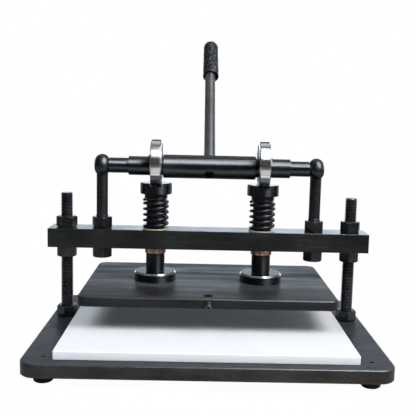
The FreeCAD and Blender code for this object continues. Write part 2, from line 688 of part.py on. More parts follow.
def main():
    os.makedirs("parts", exist_ok=True)
    for name, shape in all_parts():
        shape.exportStep(f"parts/{name}.step")
        solids = shape.Solids
        sound = shape.isValid() and solids and all(s.Volume > 0 for s in solids)
        print(f"{name}: {len(solids)} solid(s), {shape.Volume / 1000:.2f} cm3, valid {bool(sound)}")


main()
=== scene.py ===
"""Looks of the hand lever die press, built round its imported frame. Metres, +Z up."""
import math

import bmesh
import bpy
from mathutils import Matrix, Vector, noise

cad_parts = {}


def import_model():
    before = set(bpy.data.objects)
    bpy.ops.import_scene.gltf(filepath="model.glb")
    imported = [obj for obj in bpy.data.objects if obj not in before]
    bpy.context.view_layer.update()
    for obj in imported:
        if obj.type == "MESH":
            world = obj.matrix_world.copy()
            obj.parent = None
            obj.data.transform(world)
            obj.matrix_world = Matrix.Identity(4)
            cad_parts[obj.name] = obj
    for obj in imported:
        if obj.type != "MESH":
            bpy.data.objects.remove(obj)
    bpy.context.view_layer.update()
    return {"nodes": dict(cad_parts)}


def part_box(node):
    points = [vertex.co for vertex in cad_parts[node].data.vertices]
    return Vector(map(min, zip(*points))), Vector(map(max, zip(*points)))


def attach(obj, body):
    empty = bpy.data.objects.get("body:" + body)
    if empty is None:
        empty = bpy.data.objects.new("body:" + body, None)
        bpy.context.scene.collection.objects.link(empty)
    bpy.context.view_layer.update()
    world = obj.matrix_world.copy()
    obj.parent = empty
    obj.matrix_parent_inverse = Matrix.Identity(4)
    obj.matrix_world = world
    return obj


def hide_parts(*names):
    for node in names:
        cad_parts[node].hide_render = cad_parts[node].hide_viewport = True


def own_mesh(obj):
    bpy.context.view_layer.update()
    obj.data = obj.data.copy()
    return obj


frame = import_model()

MM = 0.001
TINY = 1e-6  # metres that count as nothing
SMOOTH_ANGLE = math.radians(40)  # edges sharper than this stay sharp

# Camera, as the photograph was taken. Its distance is counted from the crossbeam's middle.
IMAGE_SIDE = 416
FOCAL_PIXELS = 699.66
SENSOR_WIDTH = 36.0
CAMERA_X = -0.0143
CAMERA_DISTANCE = 0.92829
CAMERA_HEIGHT = 0.3020
CAMERA_YAW = math.radians(0.79)
CAMERA_PITCH = math.radians(7.63)
CAMERA_ROLL = math.radians(1.32)
PICTURE_RIGHT = 0.1  # pixels that the whole picture is moved
PICTURE_DOWN = 0.8

# Lamps
LIGHT_TARGET = Vector((0.0, -0.03, 0.12))
LIGHT_DISTANCE = 1.35
KEY_DIRECTION = Vector((0.49, -0.44, 0.75))
KEY_POWER = 13.8
GLINT_POWER = 180.0  # what shiny faces see of the key light
KEY_SIZE = 0.75
FILL_DIRECTION = Vector((-0.53, -0.42, 0.74))
FILL_POWER = 9.0
FILL_SIZE = 0.75
BOUNCE_DIRECTION = Vector((0.0, -1.0, 0.0))
BOUNCE_POWER = 4.2
BOUNCE_SIZE = 0.5
TOP_DIRECTION = Vector((0.30, -0.10, 0.95))
TOP_POWER = 5.0
TOP_SIZE = 0.34
WARM = (1.02, 0.985, 0.96)
COOL = (0.91, 0.96, 1.02)
GLINT_TINT = (0.91, 0.97, 1.06)

# Surroundings. Each row has a start and an end along X, Y or Z of the direction, and the
# brightness at both.
SKY_BEHIND = (0.2, 0.8, 0.0, 1.0)  # Y
SKY_SLOPE = (-0.35, 0.10, 0.82, 1.14)  # X
SKY_LOW = (0.15, 0.21, 1.95, 0.0)  # Z
SKY_MIDDLE = (0.22, 0.36, 0.7, 0.0)  # Z
SKY_TOP = (0.55, 0.85, 0.0, 1.0)  # Z
SKY_TOP_BEHIND = (0.0, 0.7, 0.17, 1.0)  # Y
SKY_RIGHT = (0.45, 0.95, 0.02, 0.65)  # X
SKY_TINT = (0.86, 0.98, 1.12, 1.0)

# Floor, in metres along Y or from the middle
FLOOR_RADIUS = 6.0
FLOOR_SEGMENTS = 96
FLOOR_COLOUR = (0.95, 0.95, 0.95)
TABLE_END = (-0.42, -0.80)  # where the pale table ends in front
BEYOND_TABLE = (0.05, 0.05, 0.05)
MIRRORED_CHANGE = (0.0, 0.15)  # from the front to the back colour
MIRRORED_FRONT = (0.64, 0.64, 0.64)  # as shiny faces see it
MIRRORED_BACK = (0.25, 0.25, 0.25)
FLOOR_GLOW = (0.20, 0.34, 0.975, 1.0)  # plain white's share, near and far

# Places on the machine
BEAM_LOW, BEAM_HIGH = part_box("crossbeam")
PRESS_Y = (BEAM_LOW.y + BEAM_HIGH.y) / 2
PLUNGER_X = (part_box("right_plunger")[0].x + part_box("right_plunger")[1].x) / 2
CAP_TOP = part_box("right_plunger_cap")[1].z
SHAFT_CENTRE = Vector((0.0, PRESS_Y, 233.5 * MM))
LEVER_LEAN = math.radians(50)
LEVER_AXIS = Vector((0.0, math.sin(LEVER_LEAN), math.cos(LEVER_LEAN)))
ALONG_X = Vector((1.0, 0.0, 0.0))
ACROSS_X = Vector((0.0, 1.0, 1.0))
UPRIGHT = Vector((0.0, 0.0, 1.0))
LEVEL = Vector((1.0, 1.0, 0.0))
NOWHERE = Vector((0.0, 0.0, 0.0))

# Threads. The profile is given as shares of the pitch.
COLUMN_PITCH = 2.0 * MM
CLAMP_PITCH = 1.25 * MM
THREAD_DEPTH = 0.61
THREAD_CREST = 0.20
THREAD_ROOT = (0.46, 0.74)
THREAD_END = 0.15  # how far the rod's end is below the root
THREAD_SIDES = 48
THREAD_WELD = 1e-7  # metres between vertices that become one
COLUMN_POINT = 1.5 * MM
CLAMP_POINT = 0.8 * MM
SOCKET_FLATS = 4.0 * MM
SOCKET_DEPTH = 4.0 * MM

# Grip, in distances from the shaft's middle along the lever, and in radii
GRIP_START = 196.5 * MM
GRIP_TIP = 281.0 * MM
GRIP_ROD_END = 265.0 * MM
GRIP_MOUTH_R = 11.9 * MM
GRIP_R = 11.4 * MM  # where the dome starts
GRIP_BORE_R = 7.5 * MM
GRIP_RECESS_R = 10.3 * MM
GRIP_RECESS = 8.0 * MM
GRIP_RECESS_ROUNDING = 0.4 * MM
GRIP_LIP = 1.4 * MM
GRIP_LIP_STEPS = 6
GRIP_BAND = 2.5 * MM  # smooth rim above the lip
GRIP_CELL = 5.0 * MM
GRIP_GROOVE = 0.9 * MM  # depth
GRIP_GROOVE_WIDTH = 0.42  # of a cell
GRIP_GROOVE_POWER = 1.5  # above 1 the cells are rounded
GRIP_STEP = 0.55 * MM  # mesh spacing

# Finishes
BEVEL_SAMPLES = 6
EDGE_LIKENESS = (0.985, 0.80)  # rounded to true normal, on a face, on an edge
UP_FACING = (0.5, 0.8)  # the normal's Z on upright faces and on tops
BEVEL_FROM = (0.40, 0.62)  # the normal's Z where a bevel counts
BEVEL_TO = (0.92, 0.80)
SPECK_GRAIN = 420.0
SPECKS = (0.56, 0.70)  # of the noise
SPECKS_ON_EDGES = 0.85
SPECKS_ON_FACES = 0.03
RELIEF = (0.46, 0.53)  # from groove to ridge, for the painted shade in hollows
# shine left in the hollows under the painted shade
GROOVE_SHADE_SPECULAR = 0.03
SLOT_DEPTH = (1.0 * MM, 2.0 * MM)  # below the top, where a slot's floor counts
# painted shade on the floors of the slots in the caps
SLOT_SPECULAR = 0.02
SLOT_ROUGHNESS = 0.35
CLOUD_SHARE = 0.6  # clouds to streaks in blackened steel
MOTTLE = (0.36, 0.66)  # of the noise, from dark to light
MOTTLE_SHINE = (0.34, 0.7)  # of the noise, from smooth to rough
BANDS = (0.38, 0.62)  # of the noise, from dull to light
BAND_SHINE = (0.3, 0.7, -0.10, 0.10)  # of the noise, and what it adds to roughness
PATCHES = (0.42, 0.68)  # of the noise, where edges get their lighter colour from use and from painted glint
TOP_CONTRAST = 0.6  # darkest to lightest colour on the faces that look up
PAINTED_FRONT_SHARE = 0.05  # painted reflection: colour near the press plate's front edge to the lightest colour
PATCH_GRAIN = 130.0  # of the lighter colour on edges, from use and from painted glint
FINE_GRAIN = 900.0
FINE_SHARE = 0.5
STEEL_RELIEF = 0.25 * MM
UPRIGHT_GRAIN = (60.0, 60.0, 1400.0)  # turning marks on upright parts


class Nodes:
    """A node tree with the kinds of node that every shader here uses."""

    def __init__(self, tree):
        self.tree = tree

    def node(self, kind, **values):
        made = self.tree.nodes.new(kind)
        for key, value in values.items():
            setattr(made, key, value)
        return made

    def join(self, source, target):
        self.tree.links.new(source, target)

    def parts(self, vector):
        """X, Y and Z of a vector, as sockets."""
        made = self.node("ShaderNodeSeparateXYZ")
        self.join(vector, made.inputs["Vector"])
        return made.outputs

    def spread(self, source, low, high, out_low=0.0, out_high=1.0):
        """Maps a range of values smoothly to another."""
        ranged = self.node("ShaderNodeMapRange", interpolation_type="SMOOTHSTEP")
        self.join(source, ranged.inputs["Value"])
        for socket, value in (("From Min", low), ("From Max", high),
                              ("To Min", out_low), ("To Max", out_high)):
            ranged.inputs[socket].default_value = value
        return ranged.outputs["Result"]

    def maths(self, operation, first, second):
        made = self.node("ShaderNodeMath", operation=operation)
        for socket, value in zip(made.inputs, (first, second)):
            if isinstance(value, (int, float)):
                socket.default_value = value
            else:
                self.join(value, socket)
        return made.outputs["Value"]

    def vectors(self, operation, first, second):
        made = self.node("ShaderNodeVectorMath", operation=operation)
        for socket, value in zip(made.inputs, (first, second)):
            if isinstance(value, (tuple, Vector)):
                socket.default_value = value
            else:
                self.join(value, socket)
        return made.outputs["Vector"]

    def blend(self, share, first, second):
        """Mixes two colours, given as sockets or as red, green and blue."""
        made = self.node("ShaderNodeMix", data_type="RGBA")
        self.join(share, made.inputs["Factor"])
        for socket, value in ((made.inputs[6], first), (made.inputs[7], second)):
            if isinstance(value, tuple):
                socket.default_value = (*value, 1.0)
            else:
                self.join(value, socket)
        return made.outputs[2]


class Finish(Nodes):
    """A material built round one Principled shader, with textures in the row frame."""

    def __init__(self, name, colour, roughness, metallic=0.0, specular=0.5):
        self.material = bpy.data.materials.new(name)
        self.material.use_nodes = True
        super().__init__(self.material.node_tree)
        self.shader = self.tree.nodes["Principled BSDF"]
        self.set("Base Color", (*colour, 1.0))
        self.set("Roughness", roughness)
        self.set("Metallic", metallic)
        self.set("Specular IOR Level", specular)

    def set(self, socket, value):
        self.shader.inputs[socket].default_value = value

    def feed(self, socket, source):
        self.join(source, self.shader.inputs[socket])

    def fed(self, socket):
        """What feeds a socket of the shader so far."""
        return self.shader.inputs[socket].links[0].from_socket

    def place(self, scale=(1.0, 1.0, 1.0)):
        """The point in the row frame, stretched by a scale along each axis."""
        coordinates = self.node("ShaderNodeTexCoord")
        mapping = self.node("ShaderNodeMapping")
        mapping.inputs["Scale"].default_value = scale
        self.join(coordinates.outputs["Object"], mapping.inputs["Vector"])
        return mapping.outputs["Vector"]

    def noise(self, scale, detail=4.0, rough=0.55, distortion=0.0):
        """Noise whose grain is 1 / scale metres, along each axis if the scale is a tuple."""
        texture = self.node("ShaderNodeTexNoise")
        texture.inputs["Scale"].default_value = 1.0
        texture.inputs["Detail"].default_value = detail
        texture.inputs["Roughness"].default_value = rough
        texture.inputs["Distortion"].default_value = distortion
        stretch = scale if isinstance(scale, tuple) else (scale, scale, scale)
        self.join(self.place(stretch), texture.inputs["Vector"])
        return texture.outputs["Fac"]

    def rounded(self, width):
        """The normal of the surface as if its edges had this radius."""
        made = self.node("ShaderNodeBevel", samples=BEVEL_SAMPLES)
        made.inputs["Radius"].default_value = width
        return made.outputs["Normal"]

    def edges(self, width):
        """How much a point lies on an outer or inner edge, from 0 to 1."""
        geometry = self.node("ShaderNodeNewGeometry")
        likeness = self.node("ShaderNodeVectorMath", operation="DOT_PRODUCT")
        self.join(self.rounded(width), likeness.inputs[0])
        self.join(geometry.outputs["Normal"], likeness.inputs[1])
        return self.spread(likeness.outputs["Value"], *EDGE_LIKENESS)

    def steepness(self):
        """The normal's Z: 0 on upright faces, 1 on level ones that look up."""
        return self.parts(self.node("ShaderNodeNewGeometry").outputs["Normal"])["Z"]

    def up_facing(self):
        """1 on faces that look up, 0 on upright ones."""
        return self.spread(self.steepness(), *UP_FACING)

    def bevels(self):
        """1 on faces that lean back by 45 degrees."""
        steepness = self.steepness()
        return self.maths("MULTIPLY", self.spread(steepness, *BEVEL_FROM),
                          self.spread(steepness, *BEVEL_TO))

    def bump(self, height, strength, distance, round_edges=0.0):
        made = self.node("ShaderNodeBump")
        made.inputs["Strength"].default_value = strength
        made.inputs["Distance"].default_value = distance
        self.join(height, made.inputs["Height"])
        if round_edges:
            self.join(self.rounded(round_edges), made.inputs["Normal"])
        self.feed("Normal", made.outputs["Normal"])

    def streak(self, axis, centre, across, amount=0.8, pair=0.0):
        """Draws highlights out along an axis, and outwards from it on the faces square to it,
        as fine rings of a lathe do. With pair, there are two such parts, at that distance to
        either side of the centre."""
        coordinates = self.node("ShaderNodeTexCoord").outputs["Object"]
        offset = self.vectors("SUBTRACT", coordinates, centre)
        if pair:
            middle = self.node("ShaderNodeCombineXYZ")
            side = self.maths("SIGN", self.parts(offset)["X"], 0.0)
            self.join(self.maths("MULTIPLY", side, pair), middle.inputs["X"])
            offset = self.vectors("SUBTRACT", offset, middle.outputs["Vector"])
        radial = self.vectors("MULTIPLY", offset, across)
        self.feed("Tangent", self.vectors("ADD", radial, axis))
        self.set("Anisotropic", amount)

    def speckle(self, width, colour):
        """Light specks where the paint has come off, most of them close to the edges."""
        body = self.fed("Base Color")
        specks = self.spread(self.noise(SPECK_GRAIN, detail=3.0), *SPECKS)
        near = self.maths("ADD", self.maths("MULTIPLY", self.edges(width), SPECKS_ON_EDGES),
                          SPECKS_ON_FACES)
        self.feed("Base Color", self.blend(self.maths("MULTIPLY", specks, near), body, colour))

    def painted_groove_shade(self, colour, specular):
        """Painted shade: hollows get a dark colour and little shine, ridges have the full shine.
        """
        body = self.fed("Base Color")
        groove_shade_mask = self.node("ShaderNodeNewGeometry").outputs["Pointiness"]
        self.feed("Base Color", self.blend(self.spread(groove_shade_mask, *RELIEF), colour, body))
        self.feed("Specular IOR Level", self.spread(groove_shade_mask, *RELIEF, GROOVE_SHADE_SPECULAR, specular))

    def smooth_tops(self, amount, side_roughness, top_roughness):
        """Faces that look up are smoother and have no streaks."""
        up = self.up_facing()
        self.feed("Anisotropic", self.spread(up, 0.0, 1.0, amount, 0.0))
        self.feed("Roughness", self.spread(up, 0.0, 1.0, side_roughness, top_roughness))

    def painted_slot_shade(self, top, specular):
        """Painted shade: faces that look up from below the top get little shine and more
        roughness.
        """
        start, end = SLOT_DEPTH
        sunk = self.maths("MULTIPLY", self.up_facing(),
                          self.spread(self.parts(self.place())["Z"], top - start, top - end))
        self.feed("Specular IOR Level", self.spread(sunk, 0.0, 1.0, specular, SLOT_SPECULAR))
        rougher = self.maths("MULTIPLY", sunk, SLOT_ROUGHNESS)
        self.feed("Roughness", self.maths("ADD", self.fed("Roughness"), rougher))

    def bare_bevels(self, colour, share):
        """Bevels that have been turned bright again after blackening."""
        bevel = self.bevels()
        self.feed("Base Color", self.blend(bevel, self.fed("Base Color"), colour))
        self.feed("Metallic", self.maths("MULTIPLY", bevel, share))


def black_steel(name, dark, light, grain, smooth=0.32, rough=0.5, wear_and_glint_colour=(0.16, 0.155, 0.15),
                wear=0.5, wear_width=0.8 * MM, bump=0.12, cloud=14.0, specular=0.5,
                round_edges=0.0, top=None, top_grain=(5.0, 60.0, 60.0), waves=0.0, painted_reflection_fade=None):
    """Blackened steel: clouded colour, streaks along the grain, and lighter edges, from use and,
    on nuts and screws, from a painted glint. With top, the faces that look up have a light
    colour in bands, and waves is the bands' share of the relief. With fade, the colour on those
    faces grows from almost black to full between two places along Y, as a painted reflection of
    the dark surroundings in front."""
    finish = Finish(name, dark, rough, specular=specular)
    clouds = finish.noise(cloud, detail=5.0)
    streaks = finish.noise(grain, detail=6.0, rough=0.65)
    fine = finish.noise(FINE_GRAIN, detail=2.0)
    mottle = finish.maths("ADD", finish.maths("MULTIPLY", clouds, CLOUD_SHARE),
                          finish.maths("MULTIPLY", streaks, 1.0 - CLOUD_SHARE))
    body = finish.blend(finish.spread(mottle, *MOTTLE), dark, light)
    shine = finish.spread(mottle, *MOTTLE_SHINE, smooth, rough)
    if top:
        bands = finish.noise(top_grain, detail=5.0, rough=0.6, distortion=0.3)
        dull = tuple(TOP_CONTRAST * part for part in top)
        marked = finish.blend(finish.spread(bands, *BANDS), dull, top)
        # Painted reflection of the dark surroundings in front: the tops darken towards the front.
        if painted_reflection_fade:
            front = tuple(PAINTED_FRONT_SHARE * part for part in top)
            depth = finish.parts(finish.place())["Y"]
            marked = finish.blend(finish.spread(depth, *painted_reflection_fade), front, marked)
        body = finish.blend(finish.up_facing(), body, marked)
        shine = finish.maths("ADD", shine, finish.spread(bands, *BAND_SHINE))
    # Lighter edges: use, and where the colour is strong, a painted glint.
    if wear:
        patchy = finish.spread(finish.noise(PATCH_GRAIN), *PATCHES)
        wear_and_glint_mask = finish.maths("MULTIPLY", finish.edges(wear_width), patchy)
        body = finish.blend(finish.maths("MULTIPLY", wear_and_glint_mask, wear), body, wear_and_glint_colour)
    finish.feed("Base Color", body)
    finish.feed("Roughness", shine)
    height = finish.maths("ADD", streaks, finish.maths("MULTIPLY", fine, FINE_SHARE))
    if waves:
        height = finish.maths("ADD", height, finish.maths("MULTIPLY", bands, waves))
    finish.bump(height, bump, STEEL_RELIEF, round_edges)
    return finish


def bearing_steel():
    """Ground bearing steel, with fine marks round the ring."""
    finish = Finish("bearing_steel", (0.62, 0.60, 0.57), 0.16, metallic=0.95)
    marks = finish.noise((2600.0, 40.0, 40.0), detail=3.0)
    clouds = finish.noise(60.0, detail=3.0)
    finish.feed("Base Color", finish.blend(finish.spread(clouds, 0.35, 0.7),
                                           (0.66, 0.635, 0.60), (0.56, 0.54, 0.51)))
    finish.feed("Roughness", finish.spread(marks, 0.3, 0.7, 0.15, 0.20))
    finish.bump(marks, 0.015, 0.05 * MM, 0.4 * MM)
    finish.streak(ALONG_X, SHAFT_CENTRE, ACROSS_X, 0.97)
    return finish


def bronze():
    """Bushing bronze, dark on its top above the beam, with a painted highlight on its upright rim
    there.
    """
    finish = Finish("bronze", (0.42, 0.16, 0.085), 0.34, metallic=0.9)
    clouds = finish.noise(160.0)
    rings = finish.noise((30.0, 30.0, 1500.0), detail=2.0)
    bare = finish.blend(finish.spread(clouds, 0.35, 0.68), (0.62, 0.36, 0.28),
                        (0.24, 0.11, 0.075))
    # Above the beam: a painted highlight on the upright rim, and a dark top.
    dark_top_painted_rim = finish.blend(finish.up_facing(), (0.78, 0.64, 0.46), (0.03, 0.022, 0.018))
    height = finish.parts(finish.place())["Z"]
    above = finish.spread(height, BEAM_HIGH.z - 0.3 * MM, BEAM_HIGH.z)
    finish.feed("Base Color", finish.blend(above, bare, dark_top_painted_rim))
    finish.feed("Metallic", finish.spread(above, 0.0, 1.0, 0.9, 0.3))
    finish.feed("Roughness", finish.spread(rings, 0.3, 0.7, 0.24, 0.44))
    finish.bump(rings, 0.12, 0.1 * MM)
    return finish


def white_board():
    """White cutting board plastic, slightly blue, with a fine grain and faint scuffs."""
    finish = Finish("white_board", (0.85, 0.87, 0.90), 0.55, specular=0.2)
    clouds = finish.noise(9.0, detail=3.0)
    scuffs = finish.noise((30.0, 420.0, 30.0), detail=5.0, rough=0.7)
    grain = finish.noise(1500.0, detail=2.0)
    tone = finish.blend(finish.spread(clouds, 0.3, 0.7), (0.88, 0.885, 0.905),
                        (0.855, 0.862, 0.885))
    scuffed = finish.maths("MULTIPLY", finish.spread(scuffs, 0.62, 0.8), 0.2)
    finish.feed("Base Color", finish.blend(scuffed, tone, (0.74, 0.76, 0.79)))
    finish.feed("Roughness", finish.spread(scuffs, 0.35, 0.75, 0.48, 0.62))
    finish.bump(grain, 0.1, 0.08 * MM, 1.0 * MM)
    return finish


def rubber(name, dark, light, roughness, bump):
    """Black rubber with a dusty bloom."""
    finish = Finish(name, dark, roughness, specular=0.35)
    dust = finish.noise(120.0, detail=5.0)
    grain = finish.noise(1400.0, detail=3.0)
    finish.feed("Base Color", finish.blend(finish.spread(dust, 0.35, 0.7), dark, light))
    finish.feed("Roughness", finish.spread(dust, 0.3, 0.7, roughness - 0.08, roughness + 0.1))
    finish.bump(grain, bump, 0.3 * MM)
    return finish


def grip_rubber():
    """Rubber with painted shade in its grooves."""
    finish = rubber("grip_rubber", (0.006, 0.0063, 0.007), (0.017, 0.0177, 0.0195), 0.42, 0.2)
    finish.painted_groove_shade((0.0018, 0.0018, 0.002), 0.22)
    return finish


def turned_steel(name, grain, **values):
    """Turned, blackened and oiled steel."""
    return black_steel(name, (0.0018, 0.0018, 0.002), (0.0045, 0.0046, 0.005), grain,
                       wear_and_glint_colour=(0.30, 0.29, 0.28), bump=0.03, **values)


def assign(finish, *nodes):
    """Gives CAD nodes their material."""
    for name in nodes:
        piece = frame["nodes"][name]
        piece.data.materials.clear()
        piece.data.materials.append(finish.material)


def new_piece(name, made, finish, body, stands_for):
    """Puts a bmesh into the scene in place of a CAD node."""
    bmesh.ops.recalc_face_normals(made, faces=made.faces)
    for face in made.faces:
        face.smooth = True
    for edge in made.edges:
        if len(edge.link_faces) == 2:
            edge.smooth = edge.calc_face_angle(0.0) < SMOOTH_ANGLE
    mesh = bpy.data.meshes.new(name)
    made.to_mesh(mesh)
    made.free()
    mesh.materials.append(finish.material)
    piece = bpy.data.objects.new(name, mesh)
    bpy.context.scene.collection.objects.link(piece)
    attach(piece, body)
    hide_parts(stands_for)


def thread_profile(radius, pitch):
    """(share of the pitch, radius) of the points that make one turn."""
    core = radius - THREAD_DEPTH * pitch
    return ((0.0, radius), (THREAD_CREST, radius), (THREAD_ROOT[0], core), (THREAD_ROOT[1], core))


def thread_rows(radius, pitch, length, point):
    """Rings of (angle, radius, distance) that follow a right hand thread along a rod. Over the
    length of the point, the rod tapers at both ends."""
    profile = thread_profile(radius, pitch)
    end_r = profile[-1][1] - THREAD_END * pitch
    rows = []
    for turn in range(-1, math.ceil(length / pitch) + 2):
        for share, r in profile:
            row = []
            for side in range(THREAD_SIDES):
                along = (turn + share + side / THREAD_SIDES) * pitch
                along = min(max(along, 0.0), length)
                near_end = min(along, length - along)
                reach = min(r, end_r + near_end * (radius - end_r) / point)
                row.append((2 * math.pi * side / THREAD_SIDES, reach, along))
            rows.append(row)
    return rows


def threaded_rod(radius, pitch, base, direction, length, point):
    """A rod with a real thread and open ends. Each ring of the helix goes on into the ring one
    turn further up."""
    across = direction.orthogonal().normalized()
    other = direction.cross(across)
    made = bmesh.new()
    grid = []
    for row in thread_rows(radius, pitch, length, point):
        ring = []
        for angle, r, along in row:
            place = base + direction * along
            place = place + across * (r * math.cos(angle)) + other * (r * math.sin(angle))
            ring.append(made.verts.new(place))
        grid.append(ring)
    turn = len(thread_profile(radius, pitch))
    last = THREAD_SIDES - 1
    for low, high in zip(grid, grid[1:]):
        for i in range(last):
            made.faces.new((low[i], low[i + 1], high[i + 1], high[i]))
    for low, high, next_low, next_high in zip(grid, grid[1:], grid[turn:], grid[turn + 1:]):
        made.faces.new((low[last], next_low[0], next_high[0], high[last]))
    bmesh.ops.remove_doubles(made, verts=made.verts, dist=THREAD_WELD)
    bmesh.ops.dissolve_degenerate(made, edges=made.edges, dist=THREAD_WELD)
    loose = [v for v in made.verts if not v.link_faces]
    bmesh.ops.delete(made, geom=loose, context="VERTS")
    return made


def open_rim(made):
    """The edges round the openings of a mesh."""
    return [edge for edge in made.edges if len(edge.link_faces) == 1]


def sink_socket(made, base, direction, flats, depth):
    """Closes the rim round the base with a flat ring and a hexagonal socket."""
    across = direction.orthogonal().normalized()
    other = direction.cross(across)
    rim = [edge for edge in open_rim(made)
           if all((v.co - base).dot(direction) < TINY for v in edge.verts)]
    rings = {}
    for vertex in {v for edge in rim for v in edge.verts}:
        out = vertex.co - base
        angle = math.atan2(out.dot(other), out.dot(across))
        turn = (angle + math.pi / 6) % (math.pi / 3) - math.pi / 6
        place = base + out.normalized() * (flats / 2 / math.cos(turn))
        rings[vertex] = (made.verts.new(place), made.verts.new(place + direction * depth))
    for edge in rim:
        a, b = edge.verts
        made.faces.new((a, b, rings[b][0], rings[a][0]))
        made.faces.new((rings[a][0], rings[b][0], rings[b][1], rings[a][1]))


def columns(finish):
    """Both columns, threaded over their whole length."""
    for side in ("left", "right"):
        low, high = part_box(f"{side}_column")
        base = Vector(((low.x + high.x) / 2, (low.y + high.y) / 2, low.z))
        made = threaded_rod((high.x - low.x) / 2, COLUMN_PITCH, base, UPRIGHT, high.z - low.z,
                            COLUMN_POINT)
        bmesh.ops.holes_fill(made, edges=open_rim(made))
        new_piece(f"{side}_threaded_column", made, finish, "base",
                  f"{side}_column")


def clamp_screw(finish):
    """The screw in the press plate's front edge, with its socket."""
    low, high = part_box("clamp_screw")
    inwards = Vector((0, 1, 0))
    base = Vector(((low.x + high.x) / 2, low.y, (low.z + high.z) / 2))
    made = threaded_rod((high.x - low.x) / 2, CLAMP_PITCH, base, inwards, high.y - low.y,
                        CLAMP_POINT)
    sink_socket(made, base, inwards, SOCKET_FLATS, SOCKET_DEPTH)
    bmesh.ops.holes_fill(made, edges=open_rim(made))
    new_piece("threaded_clamp_screw", made, finish, "press", "clamp_screw")


def springs(finish):
    """The springs, on their own copies of the CAD meshes."""
    for side in ("left", "right"):
        mesh = frame["nodes"][f"{side}_spring"].data.copy()
        mesh.materials.clear()
        mesh.materials.append(finish.material)
        piece = bpy.data.objects.new(f"{side}_compression_spring", mesh)
        bpy.context.scene.collection.objects.link(piece)
        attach(piece, "crosshead")
        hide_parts(f"{side}_spring")
        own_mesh(piece)


def grip_outline():
    """(distance along the lever, radius, depth of the grooves) from the bore's end over the
    mouth and along the outside to the tip."""
    outline = [(GRIP_ROD_END, 0.0, 0.0), (GRIP_ROD_END, GRIP_BORE_R, 0.0),
               (GRIP_START + GRIP_RECESS, GRIP_BORE_R, 0.0),
               (GRIP_START + 0.5 * GRIP_RECESS, GRIP_RECESS_R - GRIP_RECESS_ROUNDING, 0.0),
               (GRIP_START + GRIP_RECESS_ROUNDING, GRIP_RECESS_R, 0.0)]
    for step in range(GRIP_LIP_STEPS, -1, -1):
        angle = math.pi / 2 * step / GRIP_LIP_STEPS
        outline.append((GRIP_START + GRIP_LIP * (1 - math.sin(angle)),
                        GRIP_MOUTH_R - GRIP_LIP * (1 - math.cos(angle)), 0.0))
    start = GRIP_START + GRIP_LIP
    dome = GRIP_TIP - GRIP_R
    steps = round((dome - start) / GRIP_STEP)
    for step in range(1, steps + 1):
        share = step / steps
        depth = GRIP_GROOVE * min(share * (dome - start) / GRIP_BAND, 1.0)
        outline.append((start + share * (dome - start),
                        GRIP_MOUTH_R + share * (GRIP_R - GRIP_MOUTH_R), depth))
    steps = round(GRIP_R * math.pi / 2 / GRIP_STEP)
    for step in range(1, steps + 1):
        angle = math.pi / 2 * step / steps
        outline.append((dome + GRIP_R * math.sin(angle), GRIP_R * math.cos(angle),
                        GRIP_GROOVE if step < steps else 0.0))
    return outline


def groove(place):
    """1 in the middle of the grooves between the cells of the grip, 0 on the cells."""
    near, second = noise.voronoi(place / GRIP_CELL)[0][:2]
    share = min(max((second - near) / GRIP_GROOVE_WIDTH, 0.0), 1.0)
    return (1.0 - share) ** GRIP_GROOVE_POWER


def lever_grip(finish):
    """The grip, turned round the lever and grooved between its cells."""
    other = LEVER_AXIS.cross(ALONG_X)
    sides = round(2 * math.pi * GRIP_MOUTH_R / GRIP_STEP)
    made = bmesh.new()
    rings = []
    for along, radius, depth in grip_outline():
        middle = SHAFT_CENTRE + LEVER_AXIS * along
        ring = []
        for side in range(sides if radius > TINY else 1):
            angle = 2 * math.pi * side / sides
            out = ALONG_X * math.cos(angle) + other * math.sin(angle)
            place = middle + out * radius
            reach = radius - depth * groove(place) if depth else radius
            ring.append(made.verts.new(middle + out * reach))
        rings.append(ring)
    for low, high in zip(rings, rings[1:]):
        for i in range(sides):
            j = (i + 1) % sides
            if len(low) == 1:
                made.faces.new((low[0], high[j], high[i]))
            elif len(high) == 1:
                made.faces.new((low[i], low[j], high[0]))
            else:
                made.faces.new((low[i], low[j], high[j], high[i]))
    new_piece("knobbly_grip", made, finish, "camshaft", "lever_grip")


def camera():
    """The camera, from its place, its three angles and its focal length in pixels."""
    data = bpy.data.cameras.new("camera")
    data.sensor_width = SENSOR_WIDTH
    data.lens = FOCAL_PIXELS / IMAGE_SIDE * SENSOR_WIDTH
    data.shift_x = -PICTURE_RIGHT / IMAGE_SIDE
    data.shift_y = PICTURE_DOWN / IMAGE_SIDE
    made = bpy.data.objects.new("camera", data)
    bpy.context.scene.collection.objects.link(made)
    forward = Vector((math.sin(CAMERA_YAW) * math.cos(CAMERA_PITCH),
                      math.cos(CAMERA_YAW) * math.cos(CAMERA_PITCH), -math.sin(CAMERA_PITCH)))
    level = Vector((math.cos(CAMERA_YAW), -math.sin(CAMERA_YAW), 0.0))
    above = level.cross(forward)
    right = level * math.cos(CAMERA_ROLL) + above * math.sin(CAMERA_ROLL)
    up = above * math.cos(CAMERA_ROLL) - level * math.sin(CAMERA_ROLL)
    turn = Matrix((right, up, -forward)).transposed()
    place = Vector((CAMERA_X, PRESS_Y - CAMERA_DISTANCE, CAMERA_HEIGHT))
    made.matrix_world = Matrix.Translation(place) @ turn.to_4x4()
    bpy.context.scene.camera = made


def softbox(name, direction, power, size, tint, glints=False):
    """A square area lamp that faces the machine. It gives either the light or its glints."""
    data = bpy.data.lights.new(name, "AREA")
    data.shape = "SQUARE"
    data.size = size
    data.energy = power
    data.color = tint
    lamp = bpy.data.objects.new(name, data)
    bpy.context.scene.collection.objects.link(lamp)
    away = direction.normalized()
    lamp.location = LIGHT_TARGET + away * LIGHT_DISTANCE
    lamp.rotation_mode = "QUATERNION"
    lamp.rotation_quaternion = away.to_track_quat("Z", "Y")
    lamp.visible_camera = False
    lamp.visible_glossy = glints
    lamp.visible_diffuse = not glints


